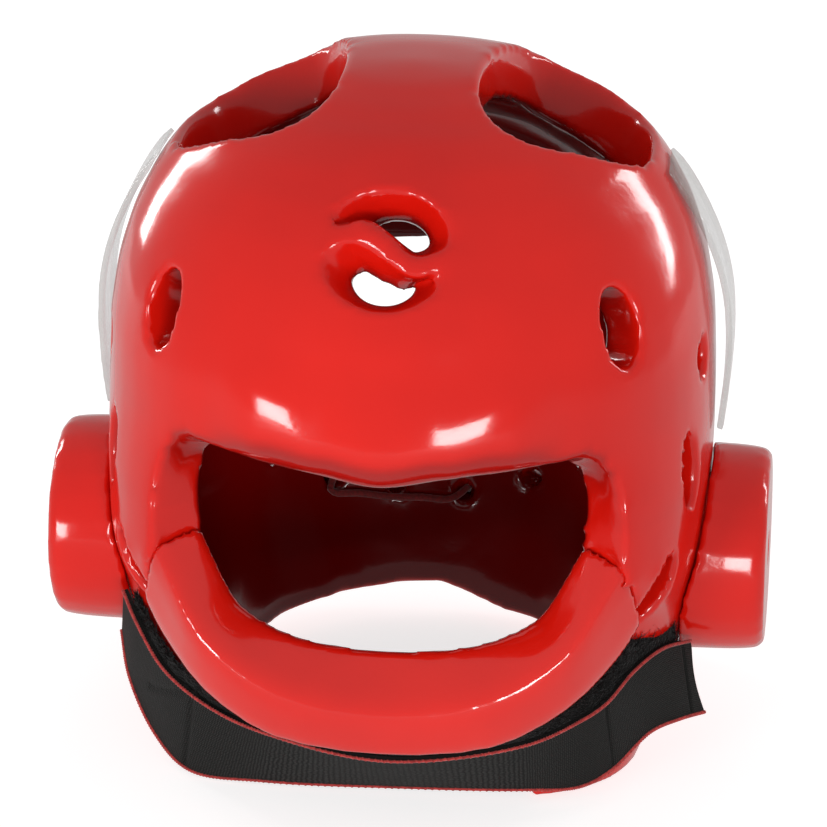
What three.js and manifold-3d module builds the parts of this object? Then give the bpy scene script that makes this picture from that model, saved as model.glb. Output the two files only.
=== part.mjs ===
import * as THREE from 'three';
import { mergeVertices } from 'three/addons/utils/BufferGeometryUtils.js';
import Module from 'manifold-3d';

const wasm = await Module();
wasm.setup();

// Head guard standing on the flat ends of its cheek flaps: the face looks along -Y, +Z is up.
// Lengths in mm. The ear axis lies at Y = 0.
const headHalfWidth = 114.5;
const faceDepth = 108;
const backDepth = 115;
const crownHeight = 270.5;
const shoulderHeight = 150;
const crownPower = 2.5;
const backSquareness = 2.3;
const foamThickness = 20;
const clearance = 0.35;

const earCupRadius = 39.5;
const earCupStand = 22;
const earCupReach = headHalfWidth + earCupStand;
const earCapThickness = 11.5;
const earRootDepth = 54.5;
const earRoot = headHalfWidth - earRootDepth;
const earHollowRadius = 26;
const earHoleRadius = 6;
const earHeight = 80;
const earAhead = -1;

const ventRadius = 24.5;
const ventSquash = 0.94;
const bridgeWidth = 8;
const bridgeSway = 6;

const bandWidth = 28;
const bandThickness = 2.6;
const bandBack = 9;

const strapThickness = 2.2;
const underStrapThickness = 1.6;
const laceRadius = 1.7;
const laceHoleRadius = 4.5;

const aroundSteps = 52;
const crownSteps = 10;

// Level sections of the head form, from the flap ends to the shoulder; lengths are shares of
// crownHeight, headHalfWidth, faceDepth and backDepth, squareness is the power of the front half.
const headLevels = [
  { height: -0.0505, halfWidth: 0.755, front: 0.60, back: 0.87, squareness: 3.1 },
  { height: 0, halfWidth: 0.79, front: 0.625, back: 0.885, squareness: 3.1 },
  { height: 0.111, halfWidth: 0.875, front: 0.675, back: 0.93, squareness: 3.0 },
  { height: 0.222, halfWidth: 0.94, front: 0.705, back: 0.965, squareness: 3.0 },
  { height: 0.2775, halfWidth: 0.96, front: 0.775, back: 0.98, squareness: 3.0 },
  { height: 0.328, halfWidth: 0.98, front: 0.90, back: 0.985, squareness: 3.0 },
  { height: 0.3734, halfWidth: 0.99, front: 0.97, back: 0.99, squareness: 2.95 },
  { height: 0.4643, halfWidth: 1.0, front: 1.0, back: 1.0, squareness: 2.6 },
  { height: 0.5546, halfWidth: 1.0, front: 1.0, back: 1.0, squareness: 2.25 },
];

function mixRows(rows, key, share, column) {
  let upper = rows.findIndex((row) => row[key] >= share);
  if (upper < 0) upper = rows.length - 1;
  if (upper === 0) return rows[0][column];
  const below = rows[upper - 1];
  const above = rows[upper];
  const part = Math.min(1, (share - below[key]) / (above[key] - below[key]));
  return below[column] + (above[column] - below[column]) * part;
}

function sectionAt(height, inset) {
  const share = height / crownHeight;
  const rise = Math.max(0, (height - shoulderHeight) / (crownHeight - inset - shoulderHeight));
  const shrink = Math.max(1 - rise ** crownPower, 0) ** (1 / crownPower);
  return {
    halfWidth: (headHalfWidth * mixRows(headLevels, 'height', share, 'halfWidth') - inset) * shrink,
    front: (faceDepth * mixRows(headLevels, 'height', share, 'front') - inset) * shrink,
    back: (backDepth * mixRows(headLevels, 'height', share, 'back') - inset) * shrink,
    squareness: mixRows(headLevels, 'height', share, 'squareness'),
  };
}

function formValue(x, y, z, inset) {
  const section = sectionAt(z, inset);
  const depth = y < 0 ? section.front : section.back;
  const power = y < 0 ? section.squareness : backSquareness;
  return (Math.abs(x) / section.halfWidth) ** power + (Math.abs(y) / depth) ** power;
}

// Distance along a ray from a point inside the head form to its skin.
function skinPoint(start, direction, inset) {
  let inside = 0;
  let outside = 400;
  const probe = new THREE.Vector3();
  for (let step = 0; step < 48; step += 1) {
    const middle = (inside + outside) / 2;
    probe.copy(start).addScaledVector(direction, middle);
    const over = probe.z >= crownHeight - inset || formValue(probe.x, probe.y, probe.z, inset) > 1;
    if (over) outside = middle;
    else inside = middle;
  }
  return start.clone().addScaledVector(direction, inside);
}

function faceSkin(x, z, inset) {
  return skinPoint(new THREE.Vector3(x, 0, z), new THREE.Vector3(0, -1, 0), inset);
}

function topSkin(x, y, inset) {
  return skinPoint(new THREE.Vector3(x, y, 0.4 * crownHeight), new THREE.Vector3(0, 0, 1), inset);
}

function toManifold(geometry) {
  const bare = geometry.index ? geometry.clone() : geometry;
  bare.deleteAttribute('normal');
  bare.deleteAttribute('uv');
  const merged = mergeVertices(bare, 1e-4);
  const mesh = new wasm.Mesh({
    numProp: 3,
    vertProperties: Float32Array.from(merged.attributes.position.array),
    triVerts: Uint32Array.from(merged.index.array),
  });
  const solid = new wasm.Manifold(mesh);
  return solid;
}

function toGeometry(solid) {
  const mesh = solid.getMesh();
  const geometry = new THREE.BufferGeometry();
  geometry.setAttribute('position', new THREE.BufferAttribute(Float32Array.from(mesh.vertProperties), 3));
  geometry.setIndex(new THREE.BufferAttribute(Uint32Array.from(mesh.triVerts), 1));
  return geometry;
}

function signedVolume(points, faces) {
  let total = 0;
  for (const [a, b, c] of faces) {
    total += points[a].dot(new THREE.Vector3().crossVectors(points[b], points[c]));
  }
  return total;
}

function closedMesh(points, faces) {
  const turned = signedVolume(points, faces) < 0;
  const index = faces.flatMap(([a, b, c]) => (turned ? [a, c, b] : [a, b, c]));
  const geometry = new THREE.BufferGeometry();
  geometry.setAttribute('position', new THREE.Float32BufferAttribute(points.flatMap((p) => [p.x, p.y, p.z]), 3));
  geometry.setIndex(index);
  return geometry;
}

// Closed rings of equal count joined in order. The end rings are capped in the named plane, or
// by a fan from their middle when no plane is named.
function ringLoft(rings, capPlane) {
  const count = rings[0].length;
  const points = rings.flat();
  const faces = [];
  for (let ring = 0; ring + 1 < rings.length; ring += 1) {
    for (let step = 0; step < count; step += 1) {
      const next = (step + 1) % count;
      const low = ring * count;
      const high = low + count;
      faces.push([low + step, low + next, high + next]);
      faces.push([low + step, high + next, high + step]);
    }
  }
  if (!capPlane) {
    [0, rings.length - 1].forEach((ring) => {
      const hub = points.length;
      points.push(rings[ring].reduce((sum, p) => sum.add(p), new THREE.Vector3()).divideScalar(count));
      for (let step = 0; step < count; step += 1) {
        const pair = [ring * count + step, ring * count + ((step + 1) % count)];
        faces.push(ring === 0 ? [hub, pair[1], pair[0]] : [hub, ...pair]);
      }
    });
    return closedMesh(points, faces);
  }
  const flatten = { xz: (p) => [p.x, p.z], xy: (p) => [p.x, p.y], yz: (p) => [p.y, p.z] }[capPlane];
  [0, rings.length - 1].forEach((ring) => {
    const flat = rings[ring].map((p) => new THREE.Vector2(...flatten(p)));
    const base = ring * count;
    const area = THREE.ShapeUtils.area(flat);
    const caps = THREE.ShapeUtils.triangulateShape(flat, []);
    caps.forEach(([a, b, c]) => {
      const forward = (THREE.ShapeUtils.area([flat[a], flat[b], flat[c]]) > 0) === (area > 0);
      const tri = forward ? [a, b, c] : [a, c, b];
      const ordered = ring === 0 ? [tri[0], tri[2], tri[1]] : tri;
      faces.push(ordered.map((corner) => base + corner));
    });
  });
  return closedMesh(points, faces);
}

function sectionRing(height, inset, count) {
  const section = sectionAt(height, inset);
  return Array.from({ length: count }, (_, step) => {
    const angle = (step / count) * Math.PI * 2;
    const cosine = Math.cos(angle);
    const sine = Math.sin(angle);
    const power = sine < 0 ? section.squareness : backSquareness;
    const depth = sine < 0 ? section.front : section.back;
    return new THREE.Vector3(
      Math.sign(cosine) * Math.abs(cosine) ** (2 / power) * section.halfWidth,
      Math.sign(sine) * Math.abs(sine) ** (2 / power) * depth,
      height,
    );
  });
}

function headForm(inset, floor, count) {
  const rings = [];
  headLevels.forEach((level) => {
    const height = level.height * crownHeight;
    if (height > floor && height < shoulderHeight - 4) rings.push(sectionRing(height, inset, count));
  });
  rings.unshift(sectionRing(floor, inset, count));
  const top = crownHeight - inset;
  for (let step = 0; step < crownSteps; step += 1) {
    const turn = (step / crownSteps) * (Math.PI / 2);
    const rise = Math.sin(turn) ** (2 / crownPower);
    rings.push(sectionRing(shoulderHeight + (top - shoulderHeight) * rise, inset, count));
  }
  const points = rings.flat();
  const faces = [];
  for (let ring = 0; ring + 1 < rings.length; ring += 1) {
    for (let step = 0; step < count; step += 1) {
      const next = (step + 1) % count;
      const low = ring * count;
      const high = low + count;
      faces.push([low + step, low + next, high + next]);
      faces.push([low + step, high + next, high + step]);
    }
  }
  const foot = points.length;
  points.push(new THREE.Vector3(0, 0, floor));
  const tip = points.length;
  points.push(new THREE.Vector3(0, 0, top));
  const lastRing = (rings.length - 1) * count;
  for (let step = 0; step < count; step += 1) {
    const next = (step + 1) % count;
    faces.push([foot, next, step]);
    faces.push([tip, lastRing + step, lastRing + next]);
  }
  return toManifold(closedMesh(points, faces));
}

// Cutter whose side runs straight through each pair of outer and inner points.
function ruledCutter(outer, inner, reachOut, reachIn, capPlane) {
  const far = outer.map((point, i) => {
    const along = point.clone().sub(inner[i]).normalize();
    return point.clone().addScaledVector(along, reachOut);
  });
  const near = inner.map((point, i) => {
    const along = point.clone().sub(outer[i]).normalize();
    return point.clone().addScaledVector(along, reachIn);
  });
  return toManifold(ringLoft([far, near], capPlane));
}

function smoothLoop(points, count) {
  return new THREE.CatmullRomCurve3(points, true, 'centripetal').getPoints(count).slice(0, count);
}

// Straight hole through the shell: outline points lie in the plane square to the given direction.
function throughHole(centre, outward, outline, reachOut, reachIn) {
  const normal = outward.clone().normalize();
  const side = new THREE.Vector3(-normal.y, normal.x, 0).normalize();
  const up = new THREE.Vector3().crossVectors(normal, side).normalize();
  const place = ([u, v], along) => centre.clone()
    .addScaledVector(side, u).addScaledVector(up, v).addScaledVector(normal, along);
  const far = outline.map((point) => place(point, reachOut));
  const near = outline.map((point) => place(point, -reachIn));
  const flat = Math.abs(normal.x) > 0.75 ? 'yz' : 'xz';
  return toManifold(ringLoft([far, near], flat));
}

function ovalOutline(halfWidth, halfHeight, lean, count) {
  return Array.from({ length: count }, (_, step) => {
    const angle = (step / count) * Math.PI * 2;
    const u = Math.cos(angle) * halfWidth;
    const v = Math.sin(angle) * halfHeight;
    return [u * Math.cos(lean) - v * Math.sin(lean), u * Math.sin(lean) + v * Math.cos(lean)];
  });
}

// Face opening, from the brow centre down the right side; shares of headHalfWidth and
// crownHeight. The inner columns give the edge on the inside of the foam.
const faceRows = [
  { across: 0.0, height: 0.5305, innerAcross: 0.0, innerHeight: 0.519 },
  { across: 0.19, height: 0.5435, innerAcross: 0.17, innerHeight: 0.532 },
  { across: 0.39, height: 0.5655, innerAcross: 0.34, innerHeight: 0.553 },
  { across: 0.53, height: 0.58, innerAcross: 0.46, innerHeight: 0.565 },
  { across: 0.64, height: 0.576, innerAcross: 0.54, innerHeight: 0.559 },
  { across: 0.71, height: 0.5399, innerAcross: 0.585, innerHeight: 0.5299 },
  { across: 0.75, height: 0.4945, innerAcross: 0.61, innerHeight: 0.4895 },
  { across: 0.765, height: 0.4239, innerAcross: 0.615, innerHeight: 0.4239 },
  { across: 0.765, height: 0.3734, innerAcross: 0.605, innerHeight: 0.3886 },
  { across: 0.77, height: 0.3129, innerAcross: 0.60, innerHeight: 0.323 },
  { across: 0.74, height: 0.2523, innerAcross: 0.57, innerHeight: 0.2523 },
  { across: 0.64, height: 0.1817, innerAcross: 0.50, innerHeight: 0.1817 },
  { across: 0.52, height: 0.111, innerAcross: 0.43, innerHeight: 0.111 },
  { across: 0.46, height: 0.0404, innerAcross: 0.38, innerHeight: 0.0404 },
  { across: 0.45, height: -0.0606, innerAcross: 0.37, innerHeight: -0.0606 },
];

function mirrorLoop(rows, acrossKey, heightKey, place) {
  const right = rows.map((row) => place(row[acrossKey] * headHalfWidth, row[heightKey] * crownHeight));
  const left = rows.slice(1).reverse()
    .map((row) => place(-row[acrossKey] * headHalfWidth, row[heightKey] * crownHeight));
  return [...right, ...left];
}

function faceCutter() {
  const outer = mirrorLoop(faceRows, 'across', 'height', (x, z) => faceSkin(x, Math.max(z, -8), 0).setZ(z));
  const inner = mirrorLoop(faceRows, 'innerAcross', 'innerHeight',
    (x, z) => faceSkin(x, Math.max(z, -8), foamThickness).setZ(z));
  const steps = 48;
  return ruledCutter(smoothLoop(outer, steps), smoothLoop(inner, steps), 40, 26, 'xz');
}

// Half-moon opening beside the crown tab, seen from above; shares of headHalfWidth across and
// faceDepth ahead (negative is towards the face).
const crownOpeningRows = [
  { across: 0.755, along: -0.17 },
  { across: 0.64, along: -0.31 },
  { across: 0.50, along: -0.40 },
  { across: 0.38, along: -0.425 },
  { across: 0.29, along: -0.37 },
  { across: 0.24, along: -0.25 },
  { across: 0.225, along: -0.08 },
  { across: 0.235, along: 0.12 },
  { across: 0.265, along: 0.32 },
  { across: 0.32, along: 0.50 },
  { across: 0.41, along: 0.60 },
  { across: 0.52, along: 0.58 },
  { across: 0.62, along: 0.52 },
  { across: 0.70, along: 0.43 },
  { across: 0.755, along: 0.30 },
  { across: 0.78, along: 0.1 },
];
const crownOpeningFocus = new THREE.Vector3(0, 4, 120);

function crownCutter(side) {
  const outer = crownOpeningRows.map((row) => topSkin(side * row.across * headHalfWidth, row.along * faceDepth, 0));
  const loop = smoothLoop(outer, 34);
  const inner = loop.map((point) => {
    const inward = crownOpeningFocus.clone().setX(side * 20).sub(point).normalize();
    return point.clone().addScaledVector(inward, foamThickness * 1.6);
  });
  return ruledCutter(loop, inner, 14, 6, 'xy');
}

// Opening above the nape and the lower edge of the back panels; shares of headHalfWidth and
// crownHeight.
const napeRows = [
  { across: 0.0, height: 0.6055 },
  { across: 0.21, height: 0.6005 },
  { across: 0.37, height: 0.5702 },
  { across: 0.44, height: 0.4996 },
  { across: 0.42, height: 0.4239 },
  { across: 0.30, height: 0.3785 },
  { across: 0.15, height: 0.3633 },
  { across: 0.0, height: 0.3603 },
];
const hemRows = [
  { across: -0.98, height: 0 },
  { across: -0.74, height: 0.0141 },
  { across: -0.61, height: 0.0373 },
  { across: -0.30, height: 0.0484 },
  { across: 0.01, height: 0.0606 },
  { across: 0.06, height: 0.0505 },
  { across: 0.23, height: 0.0262 },
  { across: 0.52, height: 0.0222 },
  { across: 0.74, height: 0.0121 },
  { across: 0.98, height: 0 },
];

function backPrism(outline, near, far) {
  const ring = (y) => outline.map(([x, z]) => new THREE.Vector3(x, y, z));
  return toManifold(ringLoft([ring(near), ring(far)], 'xz'));
}

function napeCutter() {
  const right = napeRows.map((row) => new THREE.Vector3(row.across * headHalfWidth, 0, row.height * crownHeight));
  const left = napeRows.slice(1, -1).reverse()
    .map((row) => new THREE.Vector3(-row.across * headHalfWidth, 0, row.height * crownHeight));
  const loop = smoothLoop([...right, ...left], 28);
  return backPrism(loop.map((p) => [p.x, p.z]), 0.3 * backDepth, 1.3 * backDepth);
}

function hemCutter() {
  const edge = hemRows.map((row) => [row.across * headHalfWidth, row.height * crownHeight]);
  const outline = [[-headHalfWidth, -30], [headHalfWidth, -30], ...edge.reverse()];
  return backPrism(outline, 0.15 * backDepth, 1.3 * backDepth);
}

// Slit between the two back panels, leaning as they overlap.
const slitWidth = 2.4;
function slitCutter() {
  const bottom = 0.04 * crownHeight;
  const top = 0.375 * crownHeight;
  const lean = 0.08 * headHalfWidth;
  const outline = [
    [lean - slitWidth / 2, bottom],
    [lean + slitWidth / 2, bottom],
    [-lean + slitWidth / 2, top],
    [-lean - slitWidth / 2, top],
  ];
  return backPrism(outline, 0.5 * backDepth, 1.3 * backDepth);
}

// Oval vents; the centre is a share of headHalfWidth and crownHeight, seen from the front for
// the temple vents and from the side (along = share of faceDepth) for the cheek vents.
const templeVent = { across: 0.735, height: 0.7287, halfWidth: 8.5, halfHeight: 15.6433, lean: 0.12 };
const cheekVents = [
  { along: -0.26, height: 0.6237, halfWidth: 5.5, halfHeight: 8, lean: 0 },
  { along: -0.43, height: 0.4824, halfWidth: 6.5, halfHeight: 14.634, lean: -0.06 },
  { along: -0.62, height: 0.328, halfWidth: 6.5, halfHeight: 16, lean: -0.38 },
];

function skinNormal(point) {
  const step = 0.5;
  const value = (x, y, z) => formValue(x, y, z, 0);
  return new THREE.Vector3(
    value(point.x + step, point.y, point.z) - value(point.x - step, point.y, point.z),
    value(point.x, point.y + step, point.z) - value(point.x, point.y - step, point.z),
    value(point.x, point.y, point.z + step) - value(point.x, point.y, point.z - step),
  ).normalize();
}

function sideSkin(side, y, z, inset) {
  return skinPoint(new THREE.Vector3(0, y, z), new THREE.Vector3(side, 0, 0), inset);
}

const ventReach = 12;
const ventDepth = foamThickness + 14;

function templeCutter(side) {
  const centre = faceSkin(side * templeVent.across * headHalfWidth, templeVent.height * crownHeight, 0);
  const outline = ovalOutline(templeVent.halfWidth, templeVent.halfHeight, side * templeVent.lean, 16);
  return throughHole(centre, skinNormal(centre), outline, ventReach, ventDepth);
}

function cheekCutter(side, vent) {
  const centre = sideSkin(side, vent.along * faceDepth, vent.height * crownHeight, 0);
  const outline = ovalOutline(vent.halfWidth, vent.halfHeight, side * vent.lean, 12);
  return throughHole(centre, skinNormal(centre), outline, ventReach, ventDepth);
}

// Round forehead vent split by an S-shaped bridge.
const roundVentHeight = 0.8528;
function roundVentCutters() {
  const centre = faceSkin(0, roundVentHeight * crownHeight, 0);
  const normal = skinNormal(centre);
  const ends = 0.95;
  const steps = 13;
  const bridge = (u) => -bridgeSway * Math.sin((Math.PI * u) / ventRadius);
  return [1, -1].map((half) => {
    const arc = Array.from({ length: steps + 1 }, (_, step) => {
      const share = (step / steps) * 2 - 1;
      const angle = Math.PI / 2 + share * Math.asin(ends);
      return [Math.cos(angle) * ventRadius, half * Math.sin(angle) * ventRadius * ventSquash];
    }).filter(([u, v]) => half * (v - bridge(u)) > bridgeWidth / 2 + 0.5);
    const start = arc[0][0];
    const finish = arc[arc.length - 1][0];
    const edge = Array.from({ length: steps + 1 }, (_, step) => {
      const u = finish + ((start - finish) * step) / steps;
      return [u, bridge(u) + (half * bridgeWidth) / 2];
    });
    return throughHole(centre, normal, [...arc, ...edge], 14, ventDepth);
  });
}

// Chin guard: sections from the middle to the end buried in the cheek. Lengths are shares of
// headHalfWidth (across), faceDepth (ahead) and crownHeight (height).
const chinRows = [
  {
    innerAcross: 0.0, innerAhead: 0.833, innerHeight: 0.2846, outerAcross: 0.0, outerAhead: 1.037, outerHeight: 0.2069,
    lowAcross: 0.0, lowAhead: 0.985, lowHeight: 0.1332, baseAcross: 0.0, baseAhead: 0.82, baseHeight: 0.1332,
  },
  {
    innerAcross: 0.28, innerAhead: 0.815, innerHeight: 0.2927, outerAcross: 0.36, outerAhead: 1.01, outerHeight: 0.2301,
    lowAcross: 0.36, lowAhead: 0.95, lowHeight: 0.1443, baseAcross: 0.28, baseAhead: 0.79, baseHeight: 0.1463,
  },
  {
    innerAcross: 0.47, innerAhead: 0.755, innerHeight: 0.3209, outerAcross: 0.60, outerAhead: 0.93, outerHeight: 0.2947,
    lowAcross: 0.60, lowAhead: 0.86, lowHeight: 0.1897, baseAcross: 0.49, baseAhead: 0.69, baseHeight: 0.1887,
  },
  {
    innerAcross: 0.565, innerAhead: 0.705, innerHeight: 0.3815, outerAcross: 0.72, outerAhead: 0.82, outerHeight: 0.3664,
    lowAcross: 0.75, lowAhead: 0.73, lowHeight: 0.2422, baseAcross: 0.60, baseAhead: 0.60, baseHeight: 0.2422,
  },
  {
    innerAcross: 0.605, innerAhead: 0.675, innerHeight: 0.4138, outerAcross: 0.765, outerAhead: 0.77, outerHeight: 0.3936,
    lowAcross: 0.82, lowAhead: 0.67, lowHeight: 0.2876, baseAcross: 0.67, baseAhead: 0.55, baseHeight: 0.2927,
  },
];
const chinCorners = ['inner', 'outer', 'low', 'base'];

function chinSolid(growth) {
  const stations = [...chinRows.slice(1).reverse().map((row) => ({ row, side: -1 })),
    ...chinRows.map((row) => ({ row, side: 1 }))];
  const rails = chinCorners.map((corner) => {
    const path = stations.map(({ row, side }) => new THREE.Vector3(
      side * row[`${corner}Across`] * headHalfWidth,
      -row[`${corner}Ahead`] * faceDepth,
      row[`${corner}Height`] * crownHeight,
    ));
    return new THREE.CatmullRomCurve3(path, false, 'centripetal').getPoints(24);
  });
  const rings = rails[0].map((_, station) => {
    const corners = rails.map((rail) => rail[station]);
    const centre = corners.reduce((sum, p) => sum.add(p), new THREE.Vector3()).multiplyScalar(0.25);
    return { ring: roundedSection(corners, centre, growth), centre };
  });
  const last = rings.length - 1;
  [[0, 1], [last, last - 1]].forEach(([end, next]) => {
    const outward = rings[end].centre.clone().sub(rings[next].centre).normalize();
    rings[end].ring.forEach((point) => point.addScaledVector(outward, growth));
  });
  return toManifold(ringLoft(rings.map(({ ring }) => ring)));
}

// Four corners eased to three points each.
function roundedSection(corners, centre, growth) {
  const ease = 0.22;
  return corners.flatMap((corner, i) => {
    const before = corners[(i + 3) % 4];
    const after = corners[(i + 1) % 4];
    const start = corner.clone().lerp(before, ease);
    const finish = corner.clone().lerp(after, ease);
    const middle = start.clone().add(finish).multiplyScalar(0.25).addScaledVector(corner, 0.5);
    return [start, middle, finish].map((point) => {
      const outward = point.clone().sub(centre);
      return point.clone().addScaledVector(outward.normalize(), growth);
    });
  });
}

// Ear cup: round boss with a hollow that opens into the head cavity and a small hearing hole.
function earCup(side, outerForm) {
  const axis = (z, radius) => new THREE.Vector2(radius, z);
  const reach = earCupReach - earRoot;
  const hollow = reach - earCapThickness;
  const ease = 3;
  const profile = [
    axis(0, earHollowRadius), axis(0, earCupRadius + 1), axis(reach - ease * 4, earCupRadius),
    axis(reach - ease, earCupRadius - 0.8), axis(reach, earCupRadius - ease * 1.2),
    axis(reach, earHoleRadius), axis(hollow, earHoleRadius), axis(hollow, earHollowRadius),
    axis(0, earHollowRadius),
  ];
  const lathe = new THREE.LatheGeometry(profile, 26);
  lathe.rotateZ(-Math.PI / 2);
  if (side < 0) lathe.rotateZ(Math.PI);
  lathe.translate(side * earRoot, earAhead, earHeight);
  return toManifold(lathe).subtract(outerForm);
}

function earCutter(side) {
  const length = earCupReach - earRoot;
  const bore = new THREE.CylinderGeometry(earHollowRadius, earHollowRadius, length, 24);
  bore.rotateZ(Math.PI / 2);
  bore.translate(side * (earRoot + length / 2), earAhead, earHeight);
  return toManifold(bore);
}

// Clear side band: outer face standing off the temple; shares of crownHeight and headHalfWidth.
const bandRows = [
  { height: 0.8599, across: 0.83 },
  { height: 0.8457, across: 0.865 },
  { height: 0.8074, across: 0.925 },
  { height: 0.7398, across: 1.0 },
  { height: 0.6762, across: 1.04 },
  { height: 0.6096, across: 1.052 },
  { height: 0.5349, across: 1.045 },
  { height: 0.4784, across: 1.03 },
];

function sideBand(side) {
  const path = new THREE.CatmullRomCurve3(bandRows.map((row) => new THREE.Vector3(
    row.across * headHalfWidth, 0, row.height * crownHeight)), false, 'centripetal').getPoints(20);
  const rings = path.map((point, i) => {
    const before = path[Math.max(i - 1, 0)];
    const after = path[Math.min(i + 1, path.length - 1)];
    const along = after.clone().sub(before).normalize();
    const inward = new THREE.Vector3(along.z, 0, -along.x);
    const half = bandWidth / 2;
    return [[-half, 0], [half, 0], [half, bandThickness], [-half, bandThickness]].map(([y, depth]) => {
      const place = point.clone().addScaledVector(inward, depth);
      return new THREE.Vector3(side * place.x, bandBack + y, place.z);
    });
  });
  return toManifold(ringLoft(rings));
}

// Chin strap stations from the left end round the front to the free right end. The top and
// low columns give its two edges: shares of headHalfWidth, faceDepth and crownHeight.
const strapRows = [
  { topAcross: -0.915, topAhead: 0.47, topHeight: 0.267, lowAcross: -0.955, lowAhead: 0.30, lowHeight: 0.172 },
  { topAcross: -0.86, topAhead: 0.53, topHeight: 0.228, lowAcross: -0.915, lowAhead: 0.395, lowHeight: 0.116 },
  { topAcross: -0.755, topAhead: 0.62, topHeight: 0.175, lowAcross: -0.82, lowAhead: 0.465, lowHeight: 0.042 },
  { topAcross: -0.59, topAhead: 0.69, topHeight: 0.134, lowAcross: -0.69, lowAhead: 0.565, lowHeight: 0.009 },
  { topAcross: -0.39, topAhead: 0.745, topHeight: 0.11, lowAcross: -0.44, lowAhead: 0.605, lowHeight: 0.007 },
  { topAcross: 0.0, topAhead: 0.80, topHeight: 0.0908, lowAcross: 0.0, lowAhead: 0.61, lowHeight: 0.0101 },
  { topAcross: 0.445, topAhead: 0.74, topHeight: 0.114, lowAcross: 0.44, lowAhead: 0.605, lowHeight: 0.0161 },
  { topAcross: 0.615, topAhead: 0.69, topHeight: 0.1443, lowAcross: 0.615, lowAhead: 0.60, lowHeight: 0.0242 },
  { topAcross: 0.70, topAhead: 0.65, topHeight: 0.1665, lowAcross: 0.715, lowAhead: 0.57, lowHeight: 0.0464 },
  { topAcross: 0.785, topAhead: 0.59, topHeight: 0.2069, lowAcross: 0.84, lowAhead: 0.49, lowHeight: 0.0939 },
  { topAcross: 0.865, topAhead: 0.49, topHeight: 0.222, lowAcross: 0.93, lowAhead: 0.435, lowHeight: 0.104 },
  { topAcross: 0.955, topAhead: 0.34, topHeight: 0.2089, lowAcross: 1.01, lowAhead: 0.37, lowHeight: 0.104 },
];

// Strip between two edges. Depths are measured towards the head; rise and foot move its two
// sides up from the edges, as shares of the width.
function strip(tops, lows, nearDepth, farDepth, rise, foot) {
  const rings = tops.map((top, i) => {
    const low = lows[i];
    const before = Math.max(i - 1, 0);
    const after = Math.min(i + 1, tops.length - 1);
    const along = tops[after].clone().add(lows[after]).sub(tops[before]).sub(lows[before]).normalize();
    const across = top.clone().sub(low).normalize();
    const inward = new THREE.Vector3().crossVectors(across, along).normalize();
    const upper = top.clone().lerp(low, -rise);
    const lower = low.clone().lerp(top, foot);
    const middle = upper.clone().lerp(lower, 0.5);
    return [
      ...[upper, middle, lower].map((point) => point.clone().addScaledVector(inward, nearDepth)),
      ...[lower, middle, upper].map((point) => point.clone().addScaledVector(inward, farDepth)),
    ];
  });
  return toManifold(ringLoft(rings));
}

function strapEdges(rows, steps) {
  const rail = (edge) => new THREE.CatmullRomCurve3(rows.map((row) => new THREE.Vector3(
    row[`${edge}Across`] * headHalfWidth,
    -row[`${edge}Ahead`] * faceDepth,
    row[`${edge}Height`] * crownHeight,
  )), false, 'centripetal').getPoints(steps);
  return { tops: rail('top'), lows: rail('low') };
}

// Second layer behind the strap: it stands above the top edge of the strap.
const underStrapRise = 0.13;
const underStrapFoot = 0.3;
const underStrapInset = 4;
function underStrap(tops, lows) {
  const near = strapThickness + 2 * clearance;
  const kept = [underStrapInset / 2, -underStrapInset];
  return strip(tops.slice(...kept), lows.slice(...kept), near, near + underStrapThickness, underStrapRise, underStrapFoot);
}

// Row of lace holes in the back panels; shares of headHalfWidth and crownHeight.
const laceHoles = [
  { across: -0.69, height: 0.2775 },
  { across: -0.435, height: 0.219 },
  { across: -0.175, height: 0.1998 },
  { across: 0.095, height: 0.1978 },
  { across: 0.385, height: 0.2341 },
  { across: 0.65, height: 0.2775 },
];

function backSkin(x, z, inset) {
  return skinPoint(new THREE.Vector3(x, 0, z), new THREE.Vector3(0, 1, 0), inset);
}

function laceHole(row) {
  const centre = backSkin(row.across * headHalfWidth, row.height * crownHeight, 0);
  return { centre, normal: skinNormal(centre) };
}

function laceCutter(row) {
  const { centre, normal } = laceHole(row);
  return throughHole(centre, normal, ovalOutline(laceHoleRadius, laceHoleRadius, 0, 10), ventReach, ventDepth);
}

// Lace tied outside over the slit and run inside past the middle hole.
const knotRadius = 4;
function backLace(growth) {
  const [, first, middle, last] = laceHoles;
  const stand = laceRadius + 3 * clearance;
  const at = (from, to, part, inset) => backSkin(
    THREE.MathUtils.lerp(from.across, to.across, part) * headHalfWidth,
    THREE.MathUtils.lerp(from.height, to.height, part) * crownHeight,
    inset,
  );
  const knot = at(first, last, 0.75, -knotRadius - 2 * clearance);
  const bore = (row, depth) => {
    const { centre, normal } = laceHole(row);
    return centre.clone().addScaledVector(normal, -depth);
  };
  const inside = foamThickness + stand;
  const path = [
    knot,
    at(first, last, 0.55, -stand),
    at(first, last, 0.3, -stand),
    at(first, last, 0.1, -stand),
    bore(first, 1),
    bore(first, foamThickness - 2),
    at(first, middle, 0.22, inside),
    at(first, middle, 0.6, inside),
    at(middle, last, 0.0, inside),
    at(middle, last, 0.45, inside),
    at(middle, last, 0.8, inside),
    bore(last, foamThickness - 2),
    bore(last, 1),
    at(first, last, 0.9, -stand),
    knot,
  ];
  const curve = new THREE.CatmullRomCurve3(path, false, 'centripetal');
  const circle = new THREE.Shape().absarc(0, 0, laceRadius + growth, 0, Math.PI * 2);
  const cord = new THREE.ExtrudeGeometry(circle, {
    steps: 54, curveSegments: 3, bevelEnabled: false, extrudePath: curve,
  });
  const ball = new THREE.SphereGeometry(knotRadius + growth, 10, 8);
  ball.translate(knot.x, knot.y, knot.z);
  return toManifold(cord).add(toManifold(ball));
}

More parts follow.
